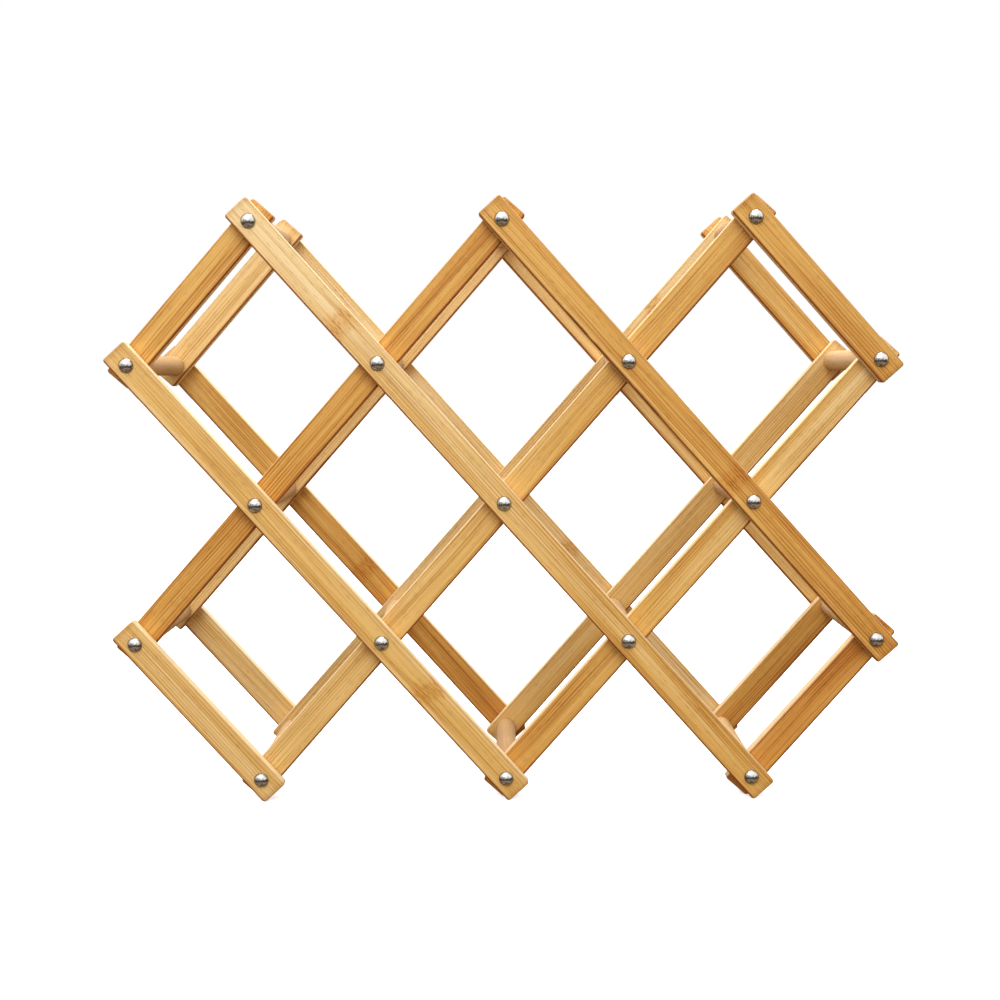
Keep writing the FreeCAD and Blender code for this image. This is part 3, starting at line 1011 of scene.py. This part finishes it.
# %% Turn and place the pins
HEAD_HEIGHT = 0.0028
SHANK_RADIUS = 0.0016
RIM_HEIGHT = 0.0005
ROLLED_EDGE = 0.0002
PIN_GRIP = 0.022
PIN_POINT = 0.003
DOME_STEPS = 14
EDGE_STEPS = 3


def pin_section(crown, seat):
    """Half-section of the front pin, from the crown of its head to its point."""
    rise = seat - RIM_HEIGHT - crown
    ball = (HEAD_RADIUS**2 + rise**2) / (2 * rise)
    reach = math.degrees(math.asin(HEAD_RADIUS / ball))
    dome = arc(0.0, crown + ball, ball, -90.0, -90.0 + reach, DOME_STEPS)
    edge = arc(
        HEAD_RADIUS - ROLLED_EDGE, seat - ROLLED_EDGE, ROLLED_EDGE, 0.0, 90.0, EDGE_STEPS)
    tip = -(DOWEL_LENGTH / 2 - PIN_GRIP)
    return dome[:-1] + [(HEAD_RADIUS, seat - RIM_HEIGHT)] + edge + [
        (SHANK_RADIUS, seat), (SHANK_RADIUS, tip - PIN_POINT), (0.0, tip)]


def pin_pair(name, node):
    """Front and rear pins of one crossing, as one mesh about the crossing's middle."""
    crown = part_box(node)[0].y
    seat = crown + HEAD_HEIGHT
    front = turned_mesh(name, pin_section(crown, seat))
    pair = bpy.data.meshes.new(name)
    points = [vertex.co.copy() for vertex in front.vertices]
    faces = [tuple(polygon.vertices) for polygon in front.polygons]
    mirrored = [Vector((place.x, -place.y, place.z)) for place in points]
    shifted = [tuple(index + len(points) for index in face[::-1]) for face in faces]
    pair.from_pydata(points + mirrored, [], faces + shifted)
    reach = pair.attributes.new("head_reach", "FLOAT", "POINT")
    for index, place in enumerate(points + mirrored):
        reach.data[index].value = math.hypot(place.x, place.z) / HEAD_RADIUS
    smooth(outward(pair))
    return shown(bpy.data.objects.new(name, pair))


STANDING = "r5c2"
ordinary = sorted(name for name in CROSSING if name != STANDING)
pins = []
for names, seed in ((ordinary, 31), ([STANDING], 41)):
    master = pin_pair("pin_master", f"pivot_pins_{names[0]}")
    pins += repeat_on_bodies(
        "nickel_pins", "pivot_pins_", master, names, NICKEL, seed)
    bpy.data.objects.remove(master)

# %% [markdown]
# ## The floor, the lights and the camera
#
# The rack stands on a plain white floor. The floor glows a little, so that its far edge melts into
# the white room, and it is hidden from bounced light, so that it doesn't wash out the undersides
# of the slats.

# %% The floor
def floor_material():
    material, tree, shader = new_material("white_floor")
    place = tree.add("ShaderNodeTexCoord").outputs["Object"]
    base = colour_ramp(tree, tree.noise(place, 3.0), [
        (0.3, (0.92, 0.92, 0.915)), (0.7, (0.94, 0.94, 0.935))])
    tree.feed(shader.inputs["Base Color"], base)
    shader.inputs["Roughness"].default_value = 0.9
    shader.inputs["Specular IOR Level"].default_value = 0.1
    shader.inputs["Emission Color"].default_value = (1.0, 1.0, 1.0, 1.0)
    shader.inputs["Emission Strength"].default_value = 0.55
    return material


FLOOR_HALF = 12.0
floor_mesh = bpy.data.meshes.new("floor")
signs = ((-1, -1), (1, -1), (1, 1), (-1, 1))
corners = [Vector((x * FLOOR_HALF, y * FLOOR_HALF, 0.0)) for x, y in signs]
floor_mesh.from_pydata(corners, [], [(0, 1, 2, 3)])
floor_mesh.materials.append(floor_material())
floor = shown(bpy.data.objects.new("floor", floor_mesh))
floor.visible_diffuse = False
floor.visible_glossy = False
print("floor of", 2 * FLOOR_HALF, "m")

# %% [markdown]
# ## The room
#
# The room is a sky of soft light. Above, it is bright, and below it is dim and brown, so the tops
# of the slats are light and their undersides are deep brown: white cards over a studio table and
# dark ones under it do the same job. Mirrors need something to mirror, so the polished heads see
# a room of their own: a bright ceiling, a dark band at eye height and blurred lumps in front.
# Light Path tells the two apart. The camera sees plain white.

# %% The room
def room_ramp(tree, height, stops):
    return colour_ramp(tree, tree.math("MULTIPLY_ADD", height, 0.5, 0.5), stops)


LUMP_SCALE = 3.4
LUMP_HEIGHT = 1.35
world = bpy.data.worlds.new("studio")
world.use_nodes = True
world.node_tree.nodes.clear()
room = Tree(world.node_tree)
direction = room.add("ShaderNodeTexCoord").outputs["Generated"]
_, back, height = room.parts_of(direction)
light_colour = room_ramp(room, height, [
    (0.0, (0.17, 0.095, 0.045)), (0.46, (0.28, 0.19, 0.12)), (0.56, (0.97, 0.965, 0.955)),
    (1.0, (1.31, 1.31, 1.30))])
behind_rack = room_ramp(room, height, [
    (0.0, (0.10, 0.055, 0.02)), (0.44, (0.24, 0.16, 0.09)), (0.52, (1.0, 1.0, 1.0)),
    (1.0, (1.2, 1.2, 1.2))])
things = room.math("SUBTRACT", room.noise(direction, LUMP_SCALE, detail=3.0), 0.5)
lumpy = room.product(things, LUMP_HEIGHT)
before_rack = room_ramp(room, room.math("ADD", height, lumpy), [
    (0.0, (0.06, 0.042, 0.028)), (0.08, (0.20, 0.155, 0.115)), (0.16, (0.44, 0.37, 0.29)),
    (0.23, (0.13, 0.105, 0.08)), (0.32, (0.04, 0.03, 0.022)), (0.42, (0.07, 0.06, 0.05)),
    (0.49, (0.24, 0.22, 0.20)), (0.55, (0.52, 0.50, 0.48)), (0.66, (1.0, 1.0, 1.0)),
    (1.0, (1.2, 1.2, 1.2))])
toward_camera = room.ramp_value(back, 0.30, -0.10)
mirror_colour = tint(room, behind_rack, before_rack, toward_camera, "MIX")
rays = room.add("ShaderNodeLightPath").outputs
lit = room.add("ShaderNodeBackground", {"Color": light_colour, "Strength": 1.0})
mirrored_room = room.add("ShaderNodeBackground", {"Color": mirror_colour, "Strength": 1.0})
seen = room.add("ShaderNodeBackground", {"Color": (1.0, 1.0, 1.0, 1.0), "Strength": 1.0})
first_mix = room.add("ShaderNodeMixShader", {
    0: rays["Is Glossy Ray"], 1: lit.outputs[0], 2: mirrored_room.outputs[0]})
second_mix = room.add("ShaderNodeMixShader", {
    0: rays["Is Camera Ray"], 1: first_mix.outputs[0], 2: seen.outputs[0]})
room.add("ShaderNodeOutputWorld", {"Surface": second_mix.outputs[0]})
bpy.context.scene.world = world
print("room:", len(world.node_tree.nodes), "nodes")

# %% [markdown]
# ## The lamps
#
# Two large softboxes give the light a direction. The key stands to the left, in front and high,
# and models the domes and arrises. The other hangs above and a little behind, and brightens the
# upper sides. They are large so that their shadows stay soft.

# %% The lamps
def softbox(name, place, target, width, depth, power):
    lamp = bpy.data.lights.new(name, "AREA")
    lamp.shape = "RECTANGLE"
    lamp.size, lamp.size_y = width, depth
    lamp.energy = power
    box = shown(bpy.data.objects.new(name, lamp))
    box.location = place
    box.rotation_euler = (Vector(target) - Vector(place)).to_track_quat("-Z", "Y").to_euler()
    return box


softbox("key", (-0.40, -1.15, 1.30), MIDDLE, 1.0, 0.8, 15.6)
softbox("top", (0.0, 0.25, 1.6), MIDDLE, 1.2, 1.0, 16.6)
print("lamps:", len(bpy.data.lights))

# %% [markdown]
# ## The camera
#
# The camera stands square in front, a little above the middle of the rack and looking slightly
# down. A lens of about 51 mm at three quarters of a metre gives the strong perspective of a
# close view: the rear lattice shows inside the front one.

# %% Place the camera
LENS, SENSOR = 51.2, 36.0  # millimetres
AWAY = 0.7913
ASIDE = 0.0024
ABOVE = 0.0746
TILT, SWING, ROLL = -0.0915, 0.0058, -0.0081  # radians

camera_data = bpy.data.cameras.new("camera")
camera_data.lens = LENS
camera_data.sensor_width = SENSOR
camera = shown(bpy.data.objects.new("camera", camera_data))
turn = (Matrix.Rotation(SWING, 4, "Z") @ Matrix.Rotation(math.pi / 2 + TILT, 4, "X")
        @ Matrix.Rotation(ROLL, 4, "Z"))
place = Vector((ASIDE, SLAT_LOW.y - AWAY, MIDDLE.z + ABOVE))
camera.matrix_world = Matrix.Translation(place) @ turn
bpy.context.scene.camera = camera
bpy.context.scene.view_settings.view_transform = "Standard"
print("camera", [round(value, 4) for value in place])
